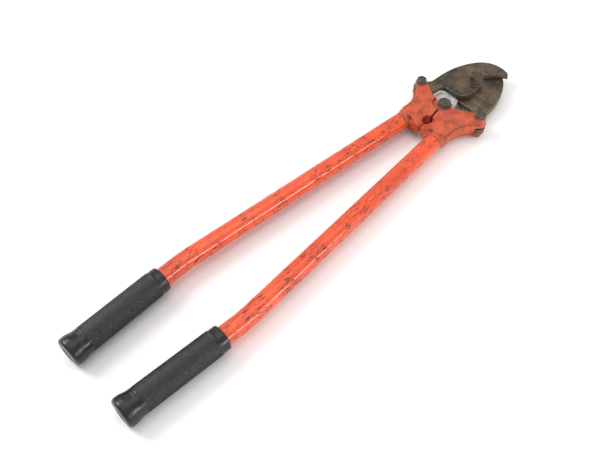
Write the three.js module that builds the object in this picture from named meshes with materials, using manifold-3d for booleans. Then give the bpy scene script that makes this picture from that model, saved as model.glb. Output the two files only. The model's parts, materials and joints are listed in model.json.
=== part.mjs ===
// Two-handed cable cutter: two hooked shear blades that cross on one pivot, driven by two
// cast heads on tubular handles.  The four pins form a kite linkage.
// Millimetres.  +X points to the blades, +Y to the left handle, +Z up.  The handle pivot's
// axis is X = Y = 0, and Z = 0 is the surface that the closed tool lies on.
import * as THREE from 'three';
import { mergeVertices } from 'three/addons/utils/BufferGeometryUtils.js';
import Module from 'manifold-3d';

const wasm = await Module();
wasm.setup();

// ---------------------------------------------------------------- driving dimensions
const GAP = 0.3;                 // between pieces that touch
const RUNNING_GAP = 0.4;         // between faces that slide on each other

const LINK = new THREE.Vector2(14.5, 58);   // left link pin, measured from the handle pivot
const BLADE_PIVOT_X = 83;                   // blade pivot, ahead of the handle pivot
const OPENING_MAX = 120;                    // degrees between the handles at full opening

const BLADE_THICKNESS = 10;
const BLADE_TIP = new THREE.Vector2(138, -28.5);
const BLADE_NOSE_X = 146;
const BLADE_BACK_Y = 51;         // the back edge's distance from the centre line
const BLADE_HUB_RADIUS = 12;
const INNER_CORNER_RADIUS = 19;
const TANG_RADIUS = 11.5;
const PLATE_RELIEF = 1;          // the centre plate's front to the blades' rear edges
const PLATE_RECESS = 16;         // how far the blades' flat faces are let in over the plate
const EDGE_BEVEL = 3;            // how far the ground edge falls back over the thickness

const CASTING_HEIGHT = 33;
const FORK_RADIUS = 12;
const LUG_RADIUS = 13.5;
const SHOULDER_RUN = 26;         // length over which the faces slope down to the tube
const LUG_SHELF = 5;             // lower shelf round the lug
const LUG_STEP = 3;              // lug face below the casting's main face
const CASTING_LENGTH = 66;       // handle pivot to the tube's mouth
const RIB_HEIGHT = 15;           // rib along the casting's outer side
const RIB_DEPTH = 4;             // and how far it stands out from the faces above and below
const LOBE_RADIUS = 9;           // rounded corner beside the closed stop
const LOBE_REAR_X = -61;         // rear end of the closed stop
const POCKET_REAR_X = -48;       // gap between the castings, behind the handle pivot
const POCKET_FRONT_X = -30;
const POCKET_HALF_WIDTH = 8;
const SLIT_HALF_WIDTH = 1.5;     // from the pocket forward to the lugs
const WEB_HEIGHT = 9;            // castings at the middle of the tool, where the stops meet
const WEB_SLOPE_WIDTH = 20;      // over which the faces rise from the web to their full height
const WEB_SLOPE_LENGTH = 26;     // and its length, from the pocket forward to the lug
const FORK_DEPTH = 10;           // the fork's floor, behind the link pin
const SPIGOT_LENGTH = 34;
const COLLAR_LENGTH = 36;        // round stretch of the casting, up to the tube's mouth
const PIN_RADIUS = 3;            // cross pin through tube and spigot
const PIN_DEPTH = 4;             // past the tube's centre line
const CAST_EDGE = 2;             // rounded edge of the castings

const TUBE_DIAMETER = 27.2;
const TUBE_WALL = 2.6;
const TUBE_OFFSET = 27.4;        // tube's centre line from the middle of the tool, at X = 0
const TUBE_SPLAY = 4.15;         // degrees
const TUBE_BEND = 6.64;          // degrees, back towards the middle
const TUBE_STRAIGHT = 480;       // X = 0 to the middle of the bend
const BEND_RADIUS = 260;

const GRIP_START = 35;           // past the middle of the bend
const GRIP_LENGTH = 149;
const GRIP_RADIUS = 18.2;
const GRIP_END_RADIUS = 20.2;
const GRIP_END_WALL = 7;
const CUFF_LENGTH = 12;
const CUFF_RADIUS = 17.4;
const FLARE_LENGTH = 26;         // end of the straight barrel to the end face

const PLATE_THICKNESS = 2.4;
const PLATE_HALF_WIDTH = 33;     // towards the left handle
const PLATE_NARROW_SIDE = 5;     // towards the right handle
const PLATE_FRONT_X = 37;

const LINK_BOLT_RADIUS = 5;
const HANDLE_BOLT_RADIUS = 6;
const BLADE_BOLT_RADIUS = 7;
const WASHER_THICKNESS = 1.5;
const BUSH_WALL = 2;             // bushes round the handle and blade pivot bolts

const FLOOR_Z = -GRIP_END_RADIUS;           // the flared grip ends rest on the floor
const tubeRadius = TUBE_DIAMETER / 2;
const halfHeight = CASTING_HEIGHT / 2;
const handleBushRadius = HANDLE_BOLT_RADIUS + GAP + BUSH_WALL;
const bladeBushRadius = BLADE_BOLT_RADIUS + GAP + BUSH_WALL;
const radians = THREE.MathUtils.degToRad;

const bladePivot = new THREE.Vector2(BLADE_PIVOT_X, 0);
const handlePivot = new THREE.Vector2(0, 0);

// The closed kite of four pins at one handle opening: the degrees that the lower blade has
// turned on the right handle, and the upper blade on the lower.
function bladeTurns(opening) {
  const rightLink = new THREE.Vector2(LINK.x, -LINK.y);
  const leftLink = LINK.clone().rotateAround(handlePivot, -radians(opening));
  const span = leftLink.clone().sub(rightLink);
  const height = Math.sqrt(LINK.distanceToSquared(bladePivot) - span.lengthSq() / 4);
  const ahead = new THREE.Vector2(span.y, -span.x).normalize();
  const movedPivot = rightLink.clone().addScaledVector(span, 0.5).addScaledVector(ahead, height);
  const heading = (from, to) => THREE.MathUtils.radToDeg(to.clone().sub(from).angle());
  const wrapped = (degrees) => THREE.MathUtils.euclideanModulo(degrees, 360);
  const lower = wrapped(heading(rightLink, bladePivot) - heading(rightLink, movedPivot));
  const upper = heading(movedPivot, leftLink) - heading(bladePivot, LINK);
  return { lower, upper: wrapped(upper + lower) };
}

// Turns per handle degree, to the four places that the couplings are given in.
const fullTurns = bladeTurns(OPENING_MAX);
const lowerBladeRatio = Number((fullTurns.lower / OPENING_MAX).toFixed(4));
const upperBladeRatio = Number((fullTurns.upper / OPENING_MAX).toFixed(4));

// ---------------------------------------------------------------- materials
const finish = (color, roughness, metalness) =>
  new THREE.MeshStandardMaterial({ color, roughness, metalness });
const redPaint = () => finish(0xee6440, 0.4, 0);
const darkSteel = () => finish(0x554a42, 0.55, 0.8);
const zincSteel = () => finish(0xbdb8b0, 0.35, 1);
const oiledSteel = () => finish(0x5c594d, 0.5, 0.8);
const blackRubber = () => finish(0x25282a, 0.6, 0);

// ---------------------------------------------------------------- solids and joins
function solid(geometry) {
  const bare = geometry.clone();
  bare.deleteAttribute('normal');
  bare.deleteAttribute('uv');
  const merged = mergeVertices(bare, 1e-4);
  return new wasm.Manifold(new wasm.Mesh({
    numProp: 3,
    vertProperties: new Float32Array(merged.attributes.position.array),
    triVerts: new Uint32Array(merged.index.array),
  }));
}

function namedMesh(name, body, material) {
  const { vertProperties, triVerts } = body.getMesh();
  const geometry = new THREE.BufferGeometry();
  geometry.setAttribute('position', new THREE.BufferAttribute(vertProperties, 3));
  geometry.setIndex(new THREE.BufferAttribute(triVerts, 1));
  geometry.computeVertexNormals();
  const mesh = new THREE.Mesh(geometry, material);
  mesh.name = name;
  return mesh;
}

// An outline raised from low to high, with its rims rounded by edge.
function plate(outline, low, high, edge = 0, curveSegments = 10) {
  const geometry = new THREE.ExtrudeGeometry(outline, {
    depth: high - low - 2 * edge,
    bevelEnabled: edge > 0,
    bevelThickness: edge,
    bevelSize: edge,
    bevelOffset: -edge,
    bevelSegments: 2,
    curveSegments,
  });
  geometry.translate(0, 0, low + edge);
  return solid(geometry);
}

// A round bar on a vertical axis.
function disc(center, radius, low, high, sides = 32) {
  const geometry = new THREE.CylinderGeometry(radius, radius, high - low, sides);
  geometry.rotateX(Math.PI / 2);
  geometry.translate(center.x, center.y, (low + high) / 2);
  return solid(geometry);
}

// A hexagon bar, its corners turned off to a cone at the top or the bottom face.
function hexagon(center, acrossFlats, low, high, chamferedFace) {
  const cornerRadius = acrossFlats / Math.sqrt(3);
  const prism = new THREE.CylinderGeometry(cornerRadius, cornerRadius, high - low, 6);
  prism.rotateX(Math.PI / 2);
  prism.translate(center.x, center.y, (low + high) / 2);
  const fall = (cornerRadius - acrossFlats / 2) * 0.6;
  const faceRadius = acrossFlats / 2 - 0.3;
  const turned = new THREE.LatheGeometry([
    new THREE.Vector2(0, 0),
    new THREE.Vector2(cornerRadius + 0.5, 0),
    new THREE.Vector2(cornerRadius + 0.5, high - low - fall - 0.5),
    new THREE.Vector2(faceRadius, high - low),
    new THREE.Vector2(0, high - low),
  ], 24);
  turned.rotateX(chamferedFace === 'top' ? Math.PI / 2 : -Math.PI / 2);
  turned.translate(center.x, center.y, chamferedFace === 'top' ? low : high);
  return solid(prism).intersect(solid(turned));
}

// Bolt, washer and nut on one axis: head and washer above the stack, nut flush below it.
function boltSet(name, center, radius, low, high, sizes) {
  const set = new THREE.Group();
  const washerTop = high + GAP + WASHER_THICKNESS;
  const headLow = washerTop + GAP;
  const nutHigh = low - GAP;
  const head = hexagon(center, sizes.flats, headLow, headLow + sizes.headHeight, 'top');
  const bolt = head.add(disc(center, radius, sizes.nutLow, headLow + 1));
  const washer = disc(center, sizes.washerRadius, high + GAP, washerTop)
    .subtract(disc(center, radius + GAP, high, headLow));
  const nut = hexagon(center, sizes.flats, sizes.nutLow, nutHigh, 'bottom')
    .subtract(disc(center, radius + GAP, sizes.nutLow - 1, nutHigh + 1));
  set.add(namedMesh(`${name}_bolt`, bolt, oiledSteel()));
  set.add(namedMesh(`${name}_washer`, washer, oiledSteel()));
  set.add(namedMesh(`${name}_nut`, nut, oiledSteel()));
  return set;
}

// ---------------------------------------------------------------- handles
const tubeDirection = new THREE.Vector2(-1, 0).rotateAround(handlePivot, -radians(TUBE_SPLAY));
const gripDirection = tubeDirection.clone().rotateAround(handlePivot, radians(TUBE_BEND));
const tubeLine = (distance) =>
  new THREE.Vector2(0, TUBE_OFFSET).addScaledVector(tubeDirection, distance);
const bendPoint = tubeLine(TUBE_STRAIGHT);
const gripLine = (distance) => bendPoint.clone().addScaledVector(gripDirection, distance);

// Places a body that stands on +Z, so that it starts at a point and runs along a direction.
function alongTube(geometry, start, direction) {
  geometry.rotateY(-Math.PI / 2);
  geometry.rotateZ(Math.atan2(direction.y, direction.x) - Math.PI);
  geometry.translate(start.x, start.y, 0);
  return geometry;
}

function bar(radius, length, start, direction, sides = 32) {
  const geometry = new THREE.CylinderGeometry(radius, radius, length, sides);
  geometry.rotateX(Math.PI / 2);
  geometry.translate(0, 0, length / 2);
  return solid(alongTube(geometry, start, direction));
}

// The tube's centre line, as one station at each end and a few round the bend.
class TubePath extends THREE.Curve {
  constructor() {
    super();
    const bend = radians(TUBE_BEND);
    const reach = BEND_RADIUS * Math.tan(bend / 2);
    const sideways = new THREE.Vector2(-tubeDirection.y, tubeDirection.x);
    const bendCenter = tubeLine(TUBE_STRAIGHT - reach).addScaledVector(sideways, BEND_RADIUS);
    this.stations = [{ at: tubeLine(CASTING_LENGTH + GAP), heading: tubeDirection }];
    for (let i = 0; i <= 4; i += 1) {
      const turn = (bend * i) / 4;
      const at = tubeLine(TUBE_STRAIGHT - reach).rotateAround(bendCenter, turn);
      const heading = tubeDirection.clone().rotateAround(handlePivot, turn);
      this.stations.push({ at, heading });
    }
    const tubeEnd = gripLine(GRIP_START + GRIP_LENGTH - GRIP_END_WALL - GAP);
    this.stations.push({ at: tubeEnd, heading: gripDirection });
  }

  station(u) {
    return this.stations[Math.round(u * (this.stations.length - 1))];
  }

  getPointAt(u) {
    const { at } = this.station(u);
    return new THREE.Vector3(at.x, at.y, 0);
  }

  getTangentAt(u) {
    const { heading } = this.station(u);
    return new THREE.Vector3(heading.x, heading.y, 0);
  }
}

function ring(outer, inner) {
  const shape = new THREE.Shape();
  shape.absarc(0, 0, outer, 0, 2 * Math.PI, false);
  const hole = new THREE.Path();
  hole.absarc(0, 0, inner, 0, 2 * Math.PI, true);
  shape.holes.push(hole);
  return shape;
}

function tubeSolid() {
  const path = new TubePath();
  return solid(new THREE.ExtrudeGeometry(ring(tubeRadius, tubeRadius - TUBE_WALL), {
    extrudePath: path,
    steps: path.stations.length - 1,
    curveSegments: 16,
    bevelEnabled: false,
  }));
}

// Moulded sleeve: rolled cuff at the mouth, straight barrel, flared end, blind bore.
function gripSolid() {
  const bore = tubeRadius + GAP;
  const flareStart = GRIP_LENGTH - FLARE_LENGTH;
  const profile = [
    [0, GRIP_LENGTH - GRIP_END_WALL],
    [bore, GRIP_LENGTH - GRIP_END_WALL],
    [bore, 0],
    [CUFF_RADIUS - 1.2, 0],
    [CUFF_RADIUS, 1.4],
    [CUFF_RADIUS, CUFF_LENGTH],
    [GRIP_RADIUS, CUFF_LENGTH + 2],
    [GRIP_RADIUS, flareStart],
    [GRIP_RADIUS + 0.4, flareStart + 9],
    [GRIP_END_RADIUS, flareStart + 17],
    [GRIP_END_RADIUS, GRIP_LENGTH - 5],
    [GRIP_END_RADIUS - 1.5, GRIP_LENGTH - 1.4],
    [GRIP_END_RADIUS - 4.2, GRIP_LENGTH],
    [0, GRIP_LENGTH],
  ].map(([radius, height]) => new THREE.Vector2(radius, height));
  const geometry = new THREE.LatheGeometry(profile, 40);
  geometry.rotateX(Math.PI / 2);
  return solid(alongTube(geometry, gripLine(GRIP_START), gripDirection));
}

// ---------------------------------------------------------------- left casting
const slotHigh = BLADE_THICKNESS + RUNNING_GAP;
const slotLow = -(PLATE_THICKNESS / 2 + RUNNING_GAP);
const plateReach = Math.hypot(PLATE_FRONT_X, PLATE_HALF_WIDTH);

// Seen from above.  inset draws the outer side in, for the raised face above the outer rib.
function castingOutline(inset = 0) {
  const shape = new THREE.Shape();
  const stop = GAP / 2;
  const rear = tubeLine(CASTING_LENGTH - 5);
  const outerY = rear.y + tubeRadius - inset;
  const boss = FORK_RADIUS - inset / 2;
  shape.moveTo(2, LUG_RADIUS);
  shape.lineTo(6, 27);
  shape.lineTo(LINK.x + boss * Math.cos(-0.9), LINK.y + boss * Math.sin(-0.9));
  shape.absarc(LINK.x, LINK.y, boss, -0.9, 2.6, false);
  shape.bezierCurveTo(-7 + inset, LINK.y - 3 - inset, -16, outerY + 1, -38, outerY);
  shape.lineTo(rear.x + 8, outerY + 0.6);
  shape.lineTo(rear.x + inset, outerY - 2);
  shape.lineTo(rear.x + inset, rear.y - tubeRadius + 2);
  shape.quadraticCurveTo(rear.x, LOBE_RADIUS + 3, LOBE_REAR_X, LOBE_RADIUS);
  shape.quadraticCurveTo(LOBE_REAR_X - 1, stop, LOBE_REAR_X + LOBE_RADIUS / 2, stop);
  shape.lineTo(POCKET_REAR_X, stop);
  shape.quadraticCurveTo(POCKET_REAR_X + 1, POCKET_HALF_WIDTH, POCKET_REAR_X + 8, POCKET_HALF_WIDTH);
  shape.lineTo(POCKET_FRONT_X - 7, POCKET_HALF_WIDTH);
  shape.quadraticCurveTo(POCKET_FRONT_X - 1, POCKET_HALF_WIDTH - 1, POCKET_FRONT_X, SLIT_HALF_WIDTH);
  shape.lineTo(-2, SLIT_HALF_WIDTH);
  return shape;
}

// Room for the blade's tang round the link pin, and for the centre plate round the pivot.
function forkSlot() {
  const sector = new THREE.Shape();
  const reach = plateReach + RUNNING_GAP;
  const start = radians(40);
  const turn = radians(129);
  const end = radians(148);
  sector.moveTo(0, 0);
  sector.lineTo(reach * Math.cos(start), reach * Math.sin(start));
  sector.absarc(0, 0, reach, start, turn, false);
  sector.absarc(0, 0, 26, turn, end, false);
  const tangRoom = disc(LINK, TANG_RADIUS + 2, slotLow, slotHigh);
  const mouth = new THREE.Shape();
  const floorX = LINK.x - FORK_DEPTH;
  const openX = LINK.x + LINK.y;
  mouth.moveTo(floorX, LINK.y / 2);
  mouth.lineTo(openX, LINK.y / 2);
  mouth.lineTo(openX, 2 * LINK.y);
  mouth.lineTo(floorX, 2 * LINK.y);
  return plate(sector, slotLow, slotHigh).add(tangRoom).add(plate(mouth, slotLow, slotHigh));
}

// Wedge that slopes the face down to the tube's height, towards the tube's mouth.
function shoulder(sign) {
  const fall = halfHeight - tubeRadius;
  const endX = SHOULDER_RUN - CASTING_LENGTH;
  const profile = new THREE.Shape();
  profile.moveTo(endX - 2 * SHOULDER_RUN, halfHeight - 2 * fall);
  profile.lineTo(endX, halfHeight);
  profile.lineTo(endX, CASTING_HEIGHT);
  profile.lineTo(endX - 2 * SHOULDER_RUN, CASTING_HEIGHT);
  const depth = 2 * LINK.y;
  const geometry = new THREE.ExtrudeGeometry(profile, { depth, bevelEnabled: false });
  geometry.translate(0, 0, -depth / 2);
  geometry.rotateX(sign * Math.PI / 2);
  return solid(geometry);
}

// Room above (or below) the web: its floor climbs outwards to the faces and forwards to the lug.
function webDish(sign) {
  const rise = halfHeight - WEB_HEIGHT / 2;
  const size = 4 * CASTING_LENGTH;
  const outwards = new THREE.BoxGeometry(size, size, size);
  outwards.translate(0, 0, size / 2);
  outwards.rotateX(sign * Math.atan2(rise, WEB_SLOPE_WIDTH) + (sign > 0 ? 0 : Math.PI));
  outwards.translate(0, 0, sign * WEB_HEIGHT / 2);
  const forwards = new THREE.BoxGeometry(size, size, size);
  forwards.translate(0, 0, sign * size / 2);
  forwards.rotateY(-sign * Math.atan2(rise, WEB_SLOPE_LENGTH));
  forwards.translate((POCKET_REAR_X + POCKET_FRONT_X) / 2, 0, sign * WEB_HEIGHT / 2);
  return solid(outwards).intersect(solid(forwards));
}

function castingSolid(flipped) {
  const lugLow = PLATE_THICKNESS / 2 + GAP;
  const lugHigh = halfHeight - LUG_STEP;
  const rib = plate(castingOutline(), -RIB_HEIGHT / 2, RIB_HEIGHT / 2, CAST_EDGE);
  const faces = plate(castingOutline(RIB_DEPTH), -halfHeight, halfHeight, CAST_EDGE);
  const sloped = faces.subtract(shoulder(1)).subtract(shoulder(-1));
  const body = rib.add(sloped).subtract(webDish(1)).subtract(webDish(-1));
  const lugRoom = disc(handlePivot, LUG_RADIUS + GAP, -halfHeight - 1, lugLow);
  const lugTop = disc(handlePivot, LUG_RADIUS + LUG_SHELF, lugHigh, halfHeight + 1);
  const collarStart = tubeLine(CASTING_LENGTH - COLLAR_LENGTH);
  const collar = bar(tubeRadius, COLLAR_LENGTH, collarStart, tubeDirection);
  const spigotRadius = tubeRadius - TUBE_WALL - GAP;
  const root = 10;
  const spigotStart = tubeLine(CASTING_LENGTH - root);
  const spigot = bar(spigotRadius, SPIGOT_LENGTH + root, spigotStart, tubeDirection);
  return body
    .add(collar)
    .add(spigot)
    .subtract(forkSlot())
    .subtract(lugRoom)
    .subtract(lugTop)
    .add(disc(handlePivot, LUG_RADIUS, lugLow, lugHigh))
    .subtract(disc(handlePivot, handleBushRadius + GAP, -halfHeight, halfHeight))
    .subtract(disc(LINK, LINK_BOLT_RADIUS + GAP, -halfHeight - 1, halfHeight + 1))
    .subtract(pinHole(flipped));
}

// Cross pin that holds the tube on the spigot, driven in from the underside.
const pinAt = tubeLine(CASTING_LENGTH + SPIGOT_LENGTH / 2);
function crossPin(radius, outerEnd, innerEnd, flipped) {
  const sign = flipped ? -1 : 1;
  const ends = [-sign * outerEnd, sign * innerEnd].sort((a, b) => a - b);
  return disc(pinAt, radius, ends[0], ends[1], 20);
}
const pinHole = (flipped) => crossPin(PIN_RADIUS + GAP, tubeRadius + 1, PIN_DEPTH, flipped);
const pinSolid = (flipped) => crossPin(PIN_RADIUS, tubeRadius + 0.4, PIN_DEPTH - GAP, flipped);

function handle(side, flipped) {
  const group = new THREE.Group();
  group.add(namedMesh(`casting_${side}`, castingSolid(flipped), redPaint()));
  group.add(namedMesh(`tube_${side}`, tubeSolid().subtract(pinHole(flipped)), redPaint()));
  group.add(namedMesh(`grip_${side}`, gripSolid(), blackRubber()));
  group.add(namedMesh(`tube_pin_${side}`, pinSolid(flipped), oiledSteel()));
  group.rotation.x = flipped ? Math.PI : 0;
  return group;
}

// ---------------------------------------------------------------- blades
function bladeOutline() {
  const shape = new THREE.Shape();
  const back = BLADE_BACK_Y;
  const rear = PLATE_FRONT_X + PLATE_RELIEF;
  const hub = BLADE_HUB_RADIUS;
  shape.moveTo(rear, INNER_CORNER_RADIUS - hub);
  shape.quadraticCurveTo(rear, -hub, rear + INNER_CORNER_RADIUS * 1.3, -hub);
  shape.lineTo(BLADE_PIVOT_X, -hub);
  shape.absarc(BLADE_PIVOT_X, 0, hub, -Math.PI / 2, -0.45, false);
  shape.quadraticCurveTo(BLADE_PIVOT_X + 16, -3, BLADE_PIVOT_X + 23, 1);
  shape.quadraticCurveTo(BLADE_TIP.x - 13, BLADE_TIP.y + 17, BLADE_TIP.x, BLADE_TIP.y);
  shape.bezierCurveTo(BLADE_NOSE_X + 5, 0, BLADE_NOSE_X - 5, 17, BLADE_NOSE_X - 19, 28);
  shape.bezierCurveTo(105, back - 7, 75, back + 1, 40, back + 0.3);
  shape.quadraticCurveTo(LINK.x + 17, back, LINK.x + TANG_RADIUS * 0.94, LINK.y + 4);
  shape.absarc(LINK.x, LINK.y, TANG_RADIUS, 0.35, 3.6, false);
  shape.lineTo(LINK.x - 1, PLATE_HALF_WIDTH + PLATE_RELIEF + 4);
  shape.lineTo(PLATE_FRONT_X - 18, PLATE_HALF_WIDTH + PLATE_RELIEF);
  shape.lineTo(PLATE_FRONT_X - 4, PLATE_HALF_WIDTH + PLATE_RELIEF - 1.5);
  shape.lineTo(rear, PLATE_HALF_WIDTH - 5);
  return shape;
}

// Wedge that leans the ground edge back, from the flat face up.
function edgeWedge(low, high) {
  const geometry = new THREE.BoxGeometry(60, 20, 3 * (high - low));
  geometry.translate(0, -10, 0);
  geometry.rotateX(-Math.atan2(EDGE_BEVEL, high - low));
  const root = new THREE.Vector2(BLADE_PIVOT_X + 23, 1);
  const chord = BLADE_TIP.clone().sub(root);
  geometry.rotateZ(Math.atan2(chord.y, chord.x));
  const middle = root.clone().add(BLADE_TIP).multiplyScalar(0.5);
  geometry.translate(middle.x, middle.y, low);
  return solid(geometry);
}

// Where the left link pin stands, seen from the upper blade, at one handle opening.
function pinSeenFromBlade(opening) {
  const rightLink = new THREE.Vector2(LINK.x, -LINK.y);
  const swing = -radians(opening * lowerBladeRatio);
  const movedPivot = bladePivot.clone().rotateAround(rightLink, swing);
  return LINK.clone()
    .rotateAround(handlePivot, -radians(opening))
    .rotateAround(movedPivot, -radians(opening * upperBladeRatio))
    .rotateAround(rightLink, -swing);
}

// The flat face of the tang is let in, so that the tang swings back over the centre plate.
function plateRecess() {
  const depth = 2 * (PLATE_THICKNESS / 2 + RUNNING_GAP);
  const length = PLATE_FRONT_X + PLATE_RECESS;
  const geometry = new THREE.BoxGeometry(2 * length, 4 * LINK.y, depth);
  return solid(geometry);
}

function bladeSolid() {
  const low = GAP / 2;
  return plate(bladeOutline(), low, BLADE_THICKNESS, 0.6, 12)
    .subtract(edgeWedge(low, BLADE_THICKNESS))
    .subtract(plateRecess())
    .subtract(disc(bladePivot, bladeBushRadius + GAP, -1, BLADE_THICKNESS + 1));
}

function upperBlade() {
  const steps = 16;
  let blade = bladeSolid();
  for (let i = 0; i <= steps; i += 1) {
    const pin = pinSeenFromBlade((OPENING_MAX * i) / steps);
    blade = blade.subtract(disc(pin, LINK_BOLT_RADIUS + RUNNING_GAP, -1, BLADE_THICKNESS + 1, 24));
  }
  return namedMesh('blade_upper', blade, darkSteel());
}

function lowerBlade() {
  const hole = disc(LINK, LINK_BOLT_RADIUS + GAP, -1, BLADE_THICKNESS + 1);
  const mesh = namedMesh('blade_lower', bladeSolid().subtract(hole), darkSteel());
  mesh.rotation.x = Math.PI;
  return mesh;
}

// ---------------------------------------------------------------- centre plate
function centrePlate() {
  const shape = new THREE.Shape();
  const width = PLATE_HALF_WIDTH;
  const front = PLATE_FRONT_X;
  shape.moveTo(front - 7, -PLATE_NARROW_SIDE);
  shape.lineTo(front, 3 - PLATE_NARROW_SIDE);
  shape.lineTo(front, width - 7);
  shape.lineTo(front - 5, width - 2);
  shape.lineTo(front - 21, width);
  shape.absarc(0, 0, LUG_RADIUS - 1, radians(76), radians(284), false);
  const body = plate(shape, -PLATE_THICKNESS / 2, PLATE_THICKNESS / 2, 0.3)
    .subtract(disc(handlePivot, handleBushRadius + GAP, -5, 5));
  return namedMesh('centre_plate', body, zincSteel());
}

// ---------------------------------------------------------------- fasteners
const linkSizes = { flats: 14, headHeight: 4.5, washerRadius: 8.6, nutLow: FLOOR_Z + 0.4 };
const handleSizes = { flats: 18, headHeight: 5, washerRadius: 10.8, nutLow: FLOOR_Z };
const bladeSizes = { flats: 19, headHeight: 13, washerRadius: 12.2, nutLow: FLOOR_Z + 1.5 };
const rightLink = new THREE.Vector2(LINK.x, -LINK.y);
const lugFace = halfHeight - LUG_STEP;

function bush(name, center, boltRadius, outerRadius, halfLength) {
  const body = disc(center, outerRadius, -halfLength, halfLength)
    .subtract(disc(center, boltRadius + GAP, -halfLength - 1, halfLength + 1));
  return namedMesh(name, body, oiledSteel());
}

// ---------------------------------------------------------------- assembly
const tool = new THREE.Group();
tool.add(handle('left', false));
tool.add(handle('right', true));
tool.add(upperBlade());
tool.add(lowerBlade());
tool.add(centrePlate());
tool.add(boltSet('link_left', LINK, LINK_BOLT_RADIUS, -halfHeight, halfHeight, linkSizes));
tool.add(boltSet('link_right', rightLink, LINK_BOLT_RADIUS, -halfHeight, halfHeight, linkSizes));
tool.add(boltSet('handle_pivot', handlePivot, HANDLE_BOLT_RADIUS, -lugFace, lugFace, handleSizes));
tool.add(boltSet('blade_pivot', bladePivot, BLADE_BOLT_RADIUS,
  -BLADE_THICKNESS, BLADE_THICKNESS, bladeSizes));
tool.add(bush('handle_pivot_bush', handlePivot, HANDLE_BOLT_RADIUS, handleBushRadius, lugFace));
tool.add(bush('blade_pivot_bush', bladePivot, BLADE_BOLT_RADIUS, bladeBushRadius, BLADE_THICKNESS));
tool.position.z = -FLOOR_Z;

const group = new THREE.Group();
group.add(tool);

export default group;
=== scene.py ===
"""Looks of a two-handed cable cutter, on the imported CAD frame.  Metres, +X to the blades."""

import json
import math

import bmesh
import bpy
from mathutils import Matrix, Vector, noise

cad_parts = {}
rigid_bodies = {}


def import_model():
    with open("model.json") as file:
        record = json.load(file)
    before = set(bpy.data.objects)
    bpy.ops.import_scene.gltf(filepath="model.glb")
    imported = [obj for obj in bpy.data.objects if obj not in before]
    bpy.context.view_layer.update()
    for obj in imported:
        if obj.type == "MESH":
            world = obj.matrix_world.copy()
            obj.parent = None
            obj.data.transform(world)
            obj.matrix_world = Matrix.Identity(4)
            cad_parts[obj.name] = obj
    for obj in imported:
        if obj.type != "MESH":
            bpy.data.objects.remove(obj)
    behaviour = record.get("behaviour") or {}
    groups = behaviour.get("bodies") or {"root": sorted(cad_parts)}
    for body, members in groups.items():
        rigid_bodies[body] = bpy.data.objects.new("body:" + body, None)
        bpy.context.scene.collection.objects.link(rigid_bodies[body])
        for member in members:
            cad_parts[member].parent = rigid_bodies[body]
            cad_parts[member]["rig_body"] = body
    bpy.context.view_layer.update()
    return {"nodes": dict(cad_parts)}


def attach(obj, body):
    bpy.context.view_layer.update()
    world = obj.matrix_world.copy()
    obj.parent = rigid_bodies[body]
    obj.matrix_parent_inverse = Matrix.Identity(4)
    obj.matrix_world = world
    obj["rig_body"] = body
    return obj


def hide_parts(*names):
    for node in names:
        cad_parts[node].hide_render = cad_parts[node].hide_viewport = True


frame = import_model()

# ---------------------------------------------------------------------------------------------
# Floor, light and camera: a white board under a large soft source, seen from behind the right
# grip and above, as one looks down on a tool laid out for sale.
# ---------------------------------------------------------------------------------------------

MM = 0.001


def linear(red, green, blue):
    """A display colour, 0 to 255, as the linear colour that a shader takes."""
    def one(value):
        share = value / 255
        return share / 12.92 if share <= 0.04045 else ((share + 0.055) / 1.055) ** 2.4
    return (one(red), one(green), one(blue), 1.0)


class Wire:
    """A shader socket that can be added, multiplied and so on, each as a Math node."""

    def __init__(self, sheet, socket):
        self.sheet = sheet
        self.socket = socket

    def maths(self, operation, first, second):
        return self.sheet.node("ShaderNodeMath", {"operation": operation}, {0: first, 1: second})

    def __add__(self, other):
        return self.maths("ADD", self, other)

    def __sub__(self, other):
        return self.maths("SUBTRACT", self, other)

    def __mul__(self, other):
        return self.maths("MULTIPLY", self, other)

    __radd__ = __add__
    __rmul__ = __mul__

    def __rsub__(self, other):
        return self.maths("SUBTRACT", other, self)


class Sheet:
    """One material and its nodes."""

    def __init__(self, name):
        self.material = bpy.data.materials.new(name)
        self.material.use_nodes = True
        self.tree = self.material.node_tree
        self.shader = self.tree.nodes["Principled BSDF"]
        self.place = self.node("ShaderNodeTexCoord", {}, {}, "Object")

    def node(self, kind, settings, inputs, output=0):
        made = self.tree.nodes.new(kind)
        for key, value in settings.items():
            setattr(made, key, value)
        for key, value in inputs.items():
            self.feed(made.inputs[key], value)
        return Wire(self, made.outputs[output])

    def feed(self, socket, value):
        if isinstance(value, Wire):
            self.tree.links.new(value.socket, socket)
        else:
            socket.default_value = value

    def set(self, **inputs):
        for key, value in inputs.items():
            self.feed(self.shader.inputs[key.replace("_", " ")], value)

    def part(self, axis):
        """One coordinate of the object's place: 0, 1 or 2."""
        return self.node("ShaderNodeSeparateXYZ", {}, {0: self.place}, axis)

    def stretched(self, scale):
        """The object's place, scaled along each axis."""
        return self.node("ShaderNodeMapping", {}, {"Vector": self.place, "Scale": scale})

    def cloud(self, size, detail=4.0, rough=0.55, place=None):
        """Noise whose blobs are about size metres across."""
        inputs = {"Vector": place or self.place, "Scale": 1 / size, "Detail": detail,
                  "Roughness": rough}
        return self.node("ShaderNodeTexNoise", {}, inputs)

    def step(self, value, low, high):
        """0 below low, 1 above high, smooth between."""
        settings = {"interpolation_type": "SMOOTHSTEP"}
        return self.node("ShaderNodeMapRange", settings, {0: value, 1: low, 2: high})

    def mix(self, share, first, second):
        """A colour between two colours."""
        inputs = {0: share, 6: first, 7: second}
        return self.node("ShaderNodeMix", {"data_type": "RGBA"}, inputs, 2)

    def bump(self, height, distance, strength=1.0, below=None):
        inputs = {"Height": height, "Distance": distance, "Strength": strength}
        if below is not None:
            inputs["Normal"] = below
        return self.node("ShaderNodeBump", {}, inputs)


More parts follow.
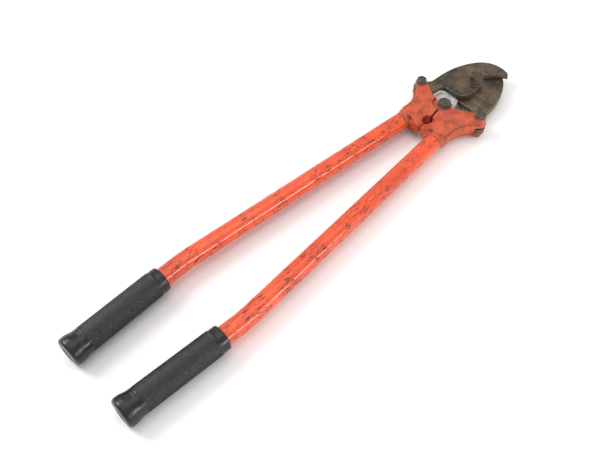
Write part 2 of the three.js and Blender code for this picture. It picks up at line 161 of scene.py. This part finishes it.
def mesh_object(name, vertices, faces):
    mesh = bpy.data.meshes.new(name)
    mesh.from_pydata(vertices, [], faces)
    mesh.validate()
    made = bpy.data.objects.new(name, mesh)
    bpy.context.scene.collection.objects.link(made)
    return made


FLOOR_REACH = 6.0
FLOOR_LEVEL = -0.1 * MM          # just clear of the nut that lies on it
floor_corners = [(x * FLOOR_REACH, y * FLOOR_REACH, FLOOR_LEVEL)
                 for x, y in ((-1, -1), (1, -1), (1, 1), (-1, 1))]
floor = mesh_object("floor", floor_corners, [(0, 1, 2, 3)])
board = Sheet("white_board")
board.set(Base_Color=linear(250, 248, 247), Roughness=0.6)
floor.data.materials.append(board.material)

ROOM_BRIGHTNESS = 0.72
world = bpy.data.worlds.new("room")
bpy.context.scene.world = world
world.use_nodes = True
room_light = world.node_tree.nodes["Background"]
room_light.inputs["Color"].default_value = (1.0, 1.0, 1.0, 1.0)
room_light.inputs["Strength"].default_value = ROOM_BRIGHTNESS
bpy.context.scene.view_settings.view_transform = "Standard"


def area_light(name, position, aim, size, power):
    """A soft rectangular lamp, size in metres and power in watts."""
    data = bpy.data.lights.new(name, "AREA")
    data.shape = "RECTANGLE"
    data.size, data.size_y = size
    data.energy = power
    lamp = bpy.data.objects.new(name, data)
    lamp.location = position
    lamp.rotation_euler = (Vector(aim) - Vector(position)).to_track_quat("-Z", "Y").to_euler()
    bpy.context.scene.collection.objects.link(lamp)


area_light("window", (-0.95, 1.35, 1.35), (-0.2, 0.0, 0.0), (0.9, 0.9), 23)
area_light("ceiling", (0.1, 0.1, 2.4), (0.0, 0.0, 0.0), (2.0, 2.0), 14)
area_light("low_strip", (0.1, -1.7, 0.5), (-0.4, 0.0, 0.0), (1.3, 0.22), 13)

CAMERA_PLACE = Vector((-0.7363, -0.4195, 0.7682))
CAMERA_AZIMUTH = math.radians(45.23)       # heading of the view in plan, from +X
CAMERA_FALL = math.radians(51.92)          # below the horizon
CAMERA_LENS = 41.15                        # millimetres, on the sensor's width below
CAMERA_SENSOR = 36
camera_data = bpy.data.cameras.new("camera")
camera_data.sensor_width = CAMERA_SENSOR
camera_data.lens = CAMERA_LENS
camera_data.clip_start = 0.01
camera = bpy.data.objects.new("camera", camera_data)
camera.location = CAMERA_PLACE
heading = Vector((math.cos(CAMERA_AZIMUTH) * math.cos(CAMERA_FALL),
                  math.sin(CAMERA_AZIMUTH) * math.cos(CAMERA_FALL), -math.sin(CAMERA_FALL)))
camera.rotation_euler = heading.to_track_quat("-Z", "Y").to_euler()
bpy.context.scene.collection.objects.link(camera)
bpy.context.scene.camera = camera

# ---------------------------------------------------------------------------------------------
# Handle tubes: bent steel water pipe, dipped in red-orange gloss paint.  Years in a tool box
# have left chips and long scratches, most of them along the tube.
# ---------------------------------------------------------------------------------------------


def smooth_shaded(piece, angle=35.0):
    piece.data.shade_smooth()
    piece.data.set_sharp_from_angle(angle=math.radians(angle))
    return piece


def part_from(node, name):
    """A new mesh on the CAD node's own surface, its doubled points joined."""
    piece = bpy.data.objects.new(name, frame["nodes"][node].data.copy())
    piece.data.materials.clear()
    bpy.context.scene.collection.objects.link(piece)
    work = bmesh.new()
    work.from_mesh(piece.data)
    bmesh.ops.remove_doubles(work, verts=work.verts, dist=0.01 * MM)
    bmesh.ops.dissolve_limit(work, angle_limit=math.radians(0.5), verts=work.verts,
                             edges=work.edges)
    work.to_mesh(piece.data)
    work.free()
    if piece.data.has_custom_normals:
        piece.data.attributes.remove(piece.data.attributes["custom_normal"])
    return piece


def bake_modifiers(piece):
    """Turns the piece's modifiers into its mesh."""
    seen = piece.evaluated_get(bpy.context.evaluated_depsgraph_get())
    mesh = bpy.data.meshes.new_from_object(seen)
    piece.modifiers.clear()
    piece.data = mesh
    return piece


def fit(piece, node, material):
    """Puts a finished piece in the place of its CAD node."""
    body = frame["nodes"][node]["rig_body"]
    piece.data.materials.clear()
    piece.data.materials.append(material)
    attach(piece, body)
    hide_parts(node)
    return piece


RED = linear(232, 84, 34)
RED_DEEP = linear(212, 68, 27)
BARE_DARK = linear(50, 34, 28)
TUBE_OFFSET = 27.4 * MM           # tube's centre line from the middle, beside the pivot
TUBE_SPLAY = math.radians(4.15)
TUBE_MOUTH = 66 * MM              # along the tube, from the same place


def tube_paint():
    sheet = Sheet("tube_paint")
    along = sheet.stretched((0.14, 1.0, 1.0))
    tint = sheet.mix(sheet.step(sheet.cloud(0.04), 0.35, 0.7), RED, RED_DEEP)
    rubbed = sheet.step(sheet.cloud(0.006, 5.0, 0.65, along), 0.5, 0.75)
    tint = sheet.mix(0.35 * rubbed, tint, linear(190, 96, 66))
    patches = sheet.step(sheet.cloud(0.03, 3.0), 0.40, 0.52)
    long_marks = sheet.step(sheet.cloud(0.0014, 3.0, 0.6, along), 0.562, 0.595)
    specks = sheet.step(sheet.cloud(0.0014, 2.0, 0.5), 0.65, 0.68)
    chips = sheet.node("ShaderNodeMath", {"operation": "MAXIMUM"},
                       {0: long_marks * patches, 1: specks})
    # Painted shade: a thin dark band round each tube where it enters its casting's collar, in
    # place of the shaded gap between tube and casting.
    across = sheet.node("ShaderNodeMath", {"operation": "ABSOLUTE"}, {0: sheet.part(1)})
    distance = ((across - TUBE_OFFSET) * math.sin(TUBE_SPLAY)
                - sheet.part(0) * math.cos(TUBE_SPLAY))
    ring = 1 - sheet.step(distance, TUBE_MOUTH + 1.0 * MM, TUBE_MOUTH + 1.8 * MM)
    colour = sheet.mix(chips, tint, BARE_DARK)
    colour = sheet.mix(0.85 * ring, colour, BARE_DARK)
    roughness = 0.24 + 0.35 * chips + 0.14 * rubbed
    film = sheet.bump(sheet.cloud(0.005, 2.0), 0.02 * MM, 0.3)
    sheet.set(Base_Color=colour, Roughness=roughness, Coat_Weight=0.4 * (1 - chips),
              Normal=sheet.bump(1 - chips, 0.12 * MM, 0.8, film))
    sheet.shader.inputs["Coat Roughness"].default_value = 0.12
    return sheet.material


tube_finish = tube_paint()
for side in ("left", "right"):
    tube = smooth_shaded(part_from(f"tube_{side}", f"handle_tube_{side}"))
    fit(tube, f"tube_{side}", tube_finish)

# ---------------------------------------------------------------------------------------------
# Cast heads: malleable-iron castings, painted with the tubes.  The sand-cast skin is uneven,
# its edges are soft, and the paint is dirty and thin where hands and cables rub it.  The
# hollows are darkened with dirt and with painted shade.
# ---------------------------------------------------------------------------------------------


def recast(node, name, voxel, passes):
    """The CAD solid remeshed in small even faces, with its edges softened."""
    piece = part_from(node, name)
    remesh = piece.modifiers.new("skin", "REMESH")
    remesh.mode = "VOXEL"
    remesh.voxel_size = voxel
    soften = piece.modifiers.new("soft", "SMOOTH")
    soften.factor = 0.5
    soften.iterations = passes
    return bake_modifiers(piece)


def roughen(piece, height, size):
    """Moves each point in by up to height, in blobs of about size."""
    normals = [point.normal.copy() for point in piece.data.vertices]
    moved = []
    for point, normal in zip(piece.data.vertices, normals):
        lump = 0.5 + 0.5 * noise.fractal(point.co / size, 0.7, 2.0, 3)
        moved.extend(point.co - normal * height * min(1.0, max(0.0, lump)))
    piece.data.vertices.foreach_set("co", moved)
    piece.data.update()
    return piece


def casting_paint():
    sheet = Sheet("casting_paint")
    corners = sheet.node("ShaderNodeNewGeometry", {}, {}, "Pointiness")
    tint = sheet.mix(sheet.step(sheet.cloud(0.018, 5.0), 0.38, 0.66),
                     linear(214, 86, 46), linear(168, 66, 38))
    mottle = sheet.step(sheet.cloud(0.0028, 6.0, 0.75), 0.46, 0.62)
    grime = sheet.step(sheet.cloud(0.011, 6.0, 0.7), 0.46, 0.66)
    # Dirt and painted shade: hollows and creases, found by pointiness, are darkened towards dark
    # brown.
    hollow_dirt_and_shade = 1 - sheet.step(corners + 0.03 * sheet.cloud(0.004), 0.462, 0.512)
    worn = sheet.step(corners + 0.05 * sheet.cloud(0.004), 0.565, 0.605)
    chips = sheet.step(sheet.cloud(0.0024, 3.0, 0.6), 0.64, 0.67)
    colour = sheet.mix(0.5 * mottle, tint, linear(112, 62, 38))
    colour = sheet.mix(0.55 * grime, colour, linear(132, 72, 48))
    colour = sheet.mix(0.9 * hollow_dirt_and_shade, colour, linear(56, 32, 24))
    colour = sheet.mix(0.6 * worn, colour, linear(232, 150, 112))
    colour = sheet.mix(0.9 * chips, colour, BARE_DARK)
    skin = sheet.bump(sheet.cloud(0.0018, 4.0), 0.16 * MM, 0.8)
    sheet.set(Base_Color=colour, Roughness=0.38 + 0.2 * grime + 0.15 * mottle,
              Normal=sheet.bump(1 - chips, 0.12 * MM, 0.7, skin))
    return sheet.material


cast_finish = casting_paint()
for side in ("left", "right"):
    head = recast(f"casting_{side}", f"cast_head_{side}", 0.8 * MM, 5)
    roughen(head, 0.25 * MM, 5 * MM)
    head.data.shade_smooth()
    fit(head, f"casting_{side}", cast_finish)

# ---------------------------------------------------------------------------------------------
# Blades: drop-forged tool steel, oil-blackened.  The flats are rubbed brown and scratched, the
# ground cutting edges and the outer rims are bare.
# ---------------------------------------------------------------------------------------------


def blade_steel():
    sheet = Sheet("blade_steel")
    broad = sheet.step(sheet.cloud(0.03, 5.0, 0.6), 0.38, 0.64)
    fine = sheet.cloud(0.0016, 6.0, 0.75)
    lengthways = sheet.stretched((0.04, 1.0, 1.0))
    crossways = sheet.stretched((1.0, 0.05, 1.0))
    scratches = (sheet.step(sheet.cloud(0.0011, 1.0, 0.4, lengthways), 0.655, 0.69)
                 + sheet.step(sheet.cloud(0.0011, 1.0, 0.4, crossways), 0.665, 0.70))
    corners = sheet.node("ShaderNodeNewGeometry", {}, {}, "Pointiness")
    bare = sheet.step(corners + 0.03 * sheet.cloud(0.003), 0.535, 0.585)
    pits = sheet.step(sheet.cloud(0.0022, 3.0, 0.6), 0.62, 0.68)
    colour = sheet.mix(broad, linear(62, 55, 47), linear(116, 96, 72))
    colour = sheet.mix(0.4 * sheet.step(fine, 0.42, 0.62), colour, linear(48, 42, 37))
    colour = sheet.mix(0.7 * pits, colour, linear(36, 30, 26))
    colour = sheet.mix(0.3 * scratches, colour, linear(168, 156, 138))
    colour = sheet.mix(0.8 * bare, colour, linear(178, 170, 160))
    skin = sheet.bump(fine, 0.06 * MM, 0.6)
    sheet.set(Base_Color=colour, Metallic=0.5 + 0.3 * bare, Roughness=0.36 + 0.25 * fine,
              Normal=sheet.bump(1 - pits, 0.1 * MM, 0.7, skin))
    return sheet.material


blade_finish = blade_steel()
for place in ("upper", "lower"):
    blade = recast(f"blade_{place}", f"shear_blade_{place}", 0.55 * MM, 3)
    roughen(blade, 0.12 * MM, 9 * MM)
    blade.data.shade_smooth()
    fit(blade, f"blade_{place}", blade_finish)

# ---------------------------------------------------------------------------------------------
# Centre plate: a small sheared steel plate between the lugs, bright where the blades and
# castings slide over it.
# ---------------------------------------------------------------------------------------------


def bevelled(node, name, width, angle=30.0):
    """The CAD solid with narrow rounded edges."""
    piece = part_from(node, name)
    rim = piece.modifiers.new("rim", "BEVEL")
    rim.width = width
    rim.segments = 2
    rim.limit_method = "ANGLE"
    rim.angle_limit = math.radians(angle)
    return smooth_shaded(bake_modifiers(piece), 50.0)


def bright_plate():
    sheet = Sheet("bright_plate")
    rub = sheet.cloud(0.0015, 6.0, 0.7, sheet.stretched((1.0, 0.15, 1.0)))
    stain = sheet.step(sheet.cloud(0.006, 4.0), 0.45, 0.68)
    colour = sheet.mix(0.5 * stain, linear(214, 212, 208), linear(112, 108, 102))
    sheet.set(Base_Color=colour, Metallic=0.35, Roughness=0.34 + 0.25 * rub,
              Normal=sheet.bump(rub, 0.04 * MM, 0.6))
    return sheet.material


fit(bevelled("centre_plate", "centre_stop_plate", 0.25 * MM), "centre_plate",
    bright_plate())

# ---------------------------------------------------------------------------------------------
# Bolts, nuts, washers, bushes and tube pins: plain oiled steel, grey-green with old grease and
# dust, bare on the corners that a spanner has rounded.
# ---------------------------------------------------------------------------------------------


def greased_steel(name, clean, dirty):
    sheet = Sheet(name)
    grime = sheet.step(sheet.cloud(0.003, 5.0, 0.65), 0.4, 0.65)
    corners = sheet.node("ShaderNodeNewGeometry", {}, {}, "Pointiness")
    bare = sheet.step(corners, 0.53, 0.58)
    colour = sheet.mix(grime, clean, dirty)
    colour = sheet.mix(0.7 * bare, colour, linear(172, 168, 158))
    skin = sheet.cloud(0.0012, 4.0)
    sheet.set(Base_Color=colour, Metallic=0.6, Roughness=0.38 + 0.3 * grime,
              Normal=sheet.bump(skin, 0.05 * MM, 0.5))
    return sheet.material


fastener_finish = greased_steel("greased_steel", linear(96, 94, 82), linear(50, 48, 38))
blade_bolt_finish = greased_steel("browned_steel", linear(98, 84, 70), linear(58, 47, 37))
for stack in ("link_left", "link_right", "handle_pivot", "blade_pivot"):
    finish = blade_bolt_finish if stack == "blade_pivot" else fastener_finish
    for kind in ("bolt", "washer", "nut"):
        node = f"{stack}_{kind}"
        fit(bevelled(node, f"{node}_worn", 0.3 * MM), node, finish)
for stack in ("handle_pivot", "blade_pivot"):
    node = f"{stack}_bush"
    fit(bevelled(node, f"{node}_turned", 0.2 * MM), node, fastener_finish)
for side in ("left", "right"):
    node = f"tube_pin_{side}"
    fit(bevelled(node, f"{node}_driven", 0.3 * MM), node, fastener_finish)

# ---------------------------------------------------------------------------------------------
# Grips: black moulded rubber sleeves pushed on the tubes.  A fine diamond knurl covers the
# barrel, and the cuff and the flared end are smooth.
# ---------------------------------------------------------------------------------------------


def grip_rubber():
    sheet = Sheet("grip_rubber")
    dust = sheet.step(sheet.cloud(0.012, 5.0), 0.42, 0.7)
    colour = sheet.mix(0.4 * dust, linear(9, 10, 11), linear(38, 38, 38))
    skin = sheet.cloud(0.0012, 4.0)
    sheet.set(Base_Color=colour, Roughness=0.26 + 0.16 * dust,
              Normal=sheet.bump(skin, 0.05 * MM, 0.5))
    return sheet.material


GRIP_LENGTH = 149 * MM
GRIP_RADIUS = 18.2 * MM
GRIP_END_RADIUS = 20.2 * MM
GRIP_TOE_IN = math.radians(2.49)
CUFF_LENGTH = 13 * MM
BORE_RADIUS = 13.9 * MM
BORE_DEPTH = 142 * MM
KNURL_AROUND = 36
KNURL_PITCH = 4.2 * MM           # along the grip
KNURL_DEPTH = 0.7 * MM
KNURL_END = GRIP_LENGTH - 27 * MM
MOUTH_ROUNDING = 1.6 * MM
END_ROUNDING = 4.5 * MM
SEAM_DEPTH = 0.3 * MM
SEAM_PLACE = KNURL_END + 1.5 * MM
DISH_RADIUS = 9 * MM             # shallow dish in the end face
DISH_FLOOR_RADIUS = 7.6 * MM
DISH_DEPTH = 0.8 * MM
BORE_RINGS = 3
DISH_RINGS = 2
AROUND = 216                     # points in each ring
STEP_LENGTH = 0.65 * MM


def eased(value, low, high):
    share = min(1.0, max(0.0, (value - low) / (high - low)))
    return share * share * (3 - 2 * share)


def grip_radius(distance):
    """The moulded outline: rolled mouth, cuff, barrel, seam line and flared end."""
    cuff = GRIP_RADIUS - 0.7 * MM * (1 - eased(distance, CUFF_LENGTH - 2 * MM, CUFF_LENGTH))
    if distance < MOUTH_ROUNDING:
        short = MOUTH_ROUNDING - distance
        cuff -= MOUTH_ROUNDING - math.sqrt(MOUTH_ROUNDING ** 2 - short ** 2)
    flare = (GRIP_END_RADIUS - GRIP_RADIUS) * eased(distance, KNURL_END + 5 * MM,
                                                    GRIP_LENGTH - 9 * MM)
    short = END_ROUNDING - (GRIP_LENGTH - distance)
    if short > 0:
        flare -= END_ROUNDING - math.sqrt(END_ROUNDING ** 2 - short ** 2)
    seam = SEAM_DEPTH * math.exp(-((distance - SEAM_PLACE) / (0.5 * MM)) ** 2)
    return cuff + flare - seam


def knurl(angle, distance):
    """Depth of the crossed grooves, fading out at the cuff and at the seam."""
    along = math.pi * distance / KNURL_PITCH
    turn = angle * KNURL_AROUND / 2
    groove = max(math.cos(turn + along) ** 6, math.cos(turn - along) ** 6)
    fade = eased(distance, CUFF_LENGTH, CUFF_LENGTH + 3 * MM) - eased(distance, KNURL_END - MM,
                                                                      KNURL_END)
    return KNURL_DEPTH * groove * fade


def grip_stations():
    """(distance, radius) of each ring: the bore from its floor out, then the outside."""
    rings = [(BORE_DEPTH, BORE_RADIUS), (BORE_DEPTH / 2, BORE_RADIUS), (0.0, BORE_RADIUS)]
    count = round(GRIP_LENGTH / STEP_LENGTH)
    for index in range(count):
        distance = GRIP_LENGTH * index / count
        rings.append((distance, grip_radius(distance)))
    for short_of_end in (0.3 * MM, 0.08 * MM, 0.0):
        distance = GRIP_LENGTH - short_of_end
        rings.append((distance, grip_radius(distance)))
    rings.append((GRIP_LENGTH, DISH_RADIUS))
    rings.append((GRIP_LENGTH - DISH_DEPTH, DISH_FLOOR_RADIUS))
    return rings


def make_grip(name, mouth, direction):
    """A ring of points at each station, joined into one closed sleeve."""
    vertices = []
    stations = grip_stations()
    side = direction.cross(Vector((0, 0, 1))).normalized()
    for index, (distance, radius) in enumerate(stations):
        outside = BORE_RINGS <= index < len(stations) - DISH_RINGS
        for turn in range(AROUND):
            angle = 2 * math.pi * turn / AROUND
            depth = knurl(angle, distance) if outside else 0.0
            out = side * math.cos(angle) + Vector((0, 0, 1)) * math.sin(angle)
            vertices.append(mouth + direction * distance + out * (radius - depth))
    faces = []
    for ring in range(len(stations) - 1):
        for turn in range(AROUND):
            after = (turn + 1) % AROUND
            faces.append((ring * AROUND + turn, ring * AROUND + after,
                          (ring + 1) * AROUND + after, (ring + 1) * AROUND + turn))
    faces.append(tuple(range(AROUND - 1, -1, -1)))
    last = (len(stations) - 1) * AROUND
    faces.append(tuple(range(last, last + AROUND)))
    made = mesh_object(name, vertices, faces)
    work = bmesh.new()
    work.from_mesh(made.data)
    bmesh.ops.recalc_face_normals(work, faces=work.faces)
    work.to_mesh(made.data)
    work.free()
    return smooth_shaded(made, 60.0)


rubber = grip_rubber()
for side, toe in (("left", 1), ("right", -1)):
    heading_back = Vector((-math.cos(GRIP_TOE_IN), -toe * math.sin(GRIP_TOE_IN), 0))
    points = [point.co for point in frame["nodes"][f"grip_{side}"].data.vertices]
    nearest = min(co.dot(heading_back) for co in points)
    rim = [co for co in points if co.dot(heading_back) < nearest + 0.05 * MM]
    mouth_middle = sum(rim, Vector()) / len(rim)
    fit(make_grip(f"knurled_grip_{side}", mouth_middle, heading_back), f"grip_{side}",
        rubber)
